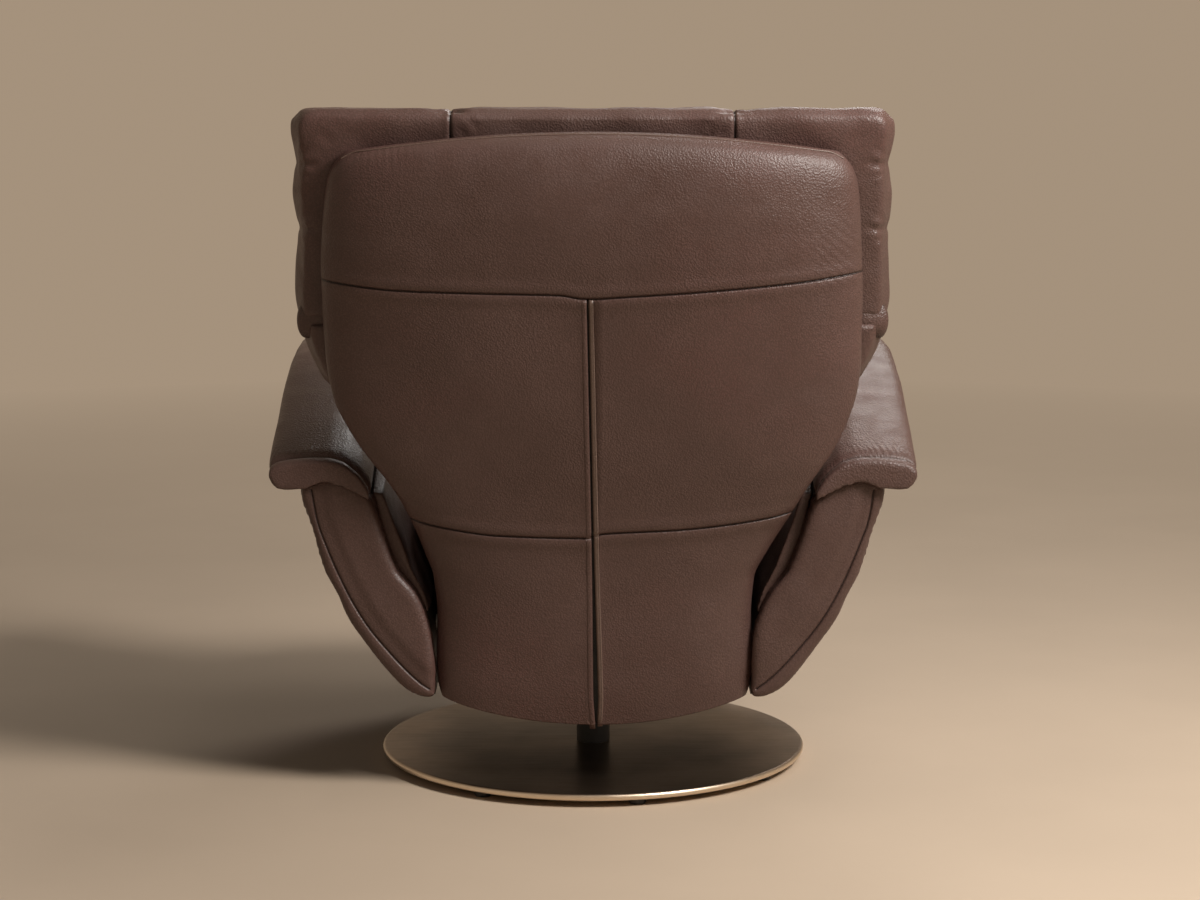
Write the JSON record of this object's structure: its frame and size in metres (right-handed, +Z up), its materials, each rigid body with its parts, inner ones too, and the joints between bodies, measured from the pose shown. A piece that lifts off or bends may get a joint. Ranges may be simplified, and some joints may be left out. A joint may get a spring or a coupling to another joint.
{
  "type": "swivel recliner",
  "caption": "Leather recliner that turns on a round floor disc, with a reclining back, tilting head cushion, swinging leg rest with fold-out foot flap, and sloping arms.",
  "frame": {"origin": "where the swivel axis meets the floor, under the middle of the floor disc", "axes": "+Z up along the swivel axis; the chair faces -Y and its back is at +Y; +X is the sitter's left"},
  "size_m": [0.944, 0.83, 1.008],
  "materials": {
    "leather": "pebbled, semi-matt brown",
    "leather_light": "folded edge, matt",
    "bronze": "brushed antique bronze with a bright rim",
    "dark_steel": "black powder coat",
    "steel": "zinc plated",
    "black_plastic": "matt black",
    "plywood": "plain birch plywood",
    "webbing": "woven elastic webbing"
  },
  "bodies": {
    "base": {"base_disc": "bronze", "floor_glides": "black_plastic", "column": "dark_steel", "column_screws": "steel", "swivel_bushes": "black_plastic", "thrust_bearing": "steel"},
    "seat": {"swivel_shaft": "steel", "shaft_screws": "dark_steel", "carrier_beams": "dark_steel", "side_plate_left": "dark_steel", "side_plate_right": "dark_steel", "seat_frame": "dark_steel", "seat_belts": "webbing", "seat_cushion": "leather", "cross_tube": "dark_steel", "recline_pins": "steel", "gas_spring_cylinder": "black_plastic", "gas_spring_pins": "steel", "release_cable": "black_plastic", "lever_pin": "steel", "arm_core_left": "plywood", "arm_core_right": "plywood", "arm_shell_left": "leather", "arm_shell_right": "leather", "arm_ends_left": "leather", "arm_ends_right": "leather", "arm_lining_left": "leather", "arm_lining_right": "leather", "arm_pad_left": "leather", "arm_pad_right": "leather", "arm_spacers": "steel", "arm_bolts": "dark_steel", "legrest_pins": "steel"},
    "back": {"back_frame": "dark_steel", "back_hinge_plates": "dark_steel", "recline_crank": "dark_steel", "back_belts": "webbing", "back_cushion": "leather", "rear_cover": "leather", "cover_slit_strips": "leather_light", "cover_zip": "black_plastic", "head_fittings_lower": "steel", "head_pins": "dark_steel"},
    "head": {"head_fittings_upper": "steel", "head_plate": "plywood", "head_cushion": "leather"},
    "legrest": {"legrest_brackets": "dark_steel", "legrest_board": "plywood", "legrest_pad": "leather", "flap_hinge_pin": "steel"},
    "flap": {"flap_board": "plywood", "flap_pad": "leather"},
    "gas_spring_piston": {"gas_spring_rod": "steel"},
    "lever": {"release_lever": "dark_steel", "lever_grip": "black_plastic"}
  },
  "joints": [
    {"name": "swivel", "type": "hinge", "parent": "base", "child": "seat", "pos_m": [0, 0, 0], "axis": [0, 0, 1], "continuous": true},
    {"name": "recline", "type": "hinge", "parent": "seat", "child": "back", "pos_m": [0, 0.175, 0.335], "axis": [-1, 0, 0], "range_deg": [0, 35]},
    {"name": "head_tilt", "type": "hinge", "parent": "back", "child": "head", "pos_m": [0, 0.19718, 0.7], "axis": [1, 0, 0], "range_deg": [0, 30]},
    {"name": "legrest_swing", "type": "hinge", "parent": "seat", "child": "legrest", "pos_m": [0, -0.38, 0.3], "axis": [-1, 0, 0], "range_deg": [0, 80]},
    {"name": "flap_fold", "type": "hinge", "parent": "legrest", "child": "flap", "pos_m": [0, -0.36036, 0.12], "axis": [-1, 0, 0], "range_deg": [0, 180]},
    {"name": "spring_stroke", "type": "slide", "parent": "seat", "child": "gas_spring_piston", "axis": [0, -1, 0], "range_m": [0, 0.03628]},
    {"name": "release", "type": "hinge", "parent": "seat", "child": "lever", "pos_m": [-0.216, -0.28, 0.25], "axis": [-1, 0, 0], "range_deg": [0, 20], "stiffness_Nm_per_rad": 2, "springref_deg": -11.46}
  ],
  "couplings": [
    {"joint": "flap_fold", "follows": "legrest_swing", "ratio": 2.25},
    {"joint": "spring_stroke", "follows": "recline", "m_per_rad": 0.05907}
  ]
}
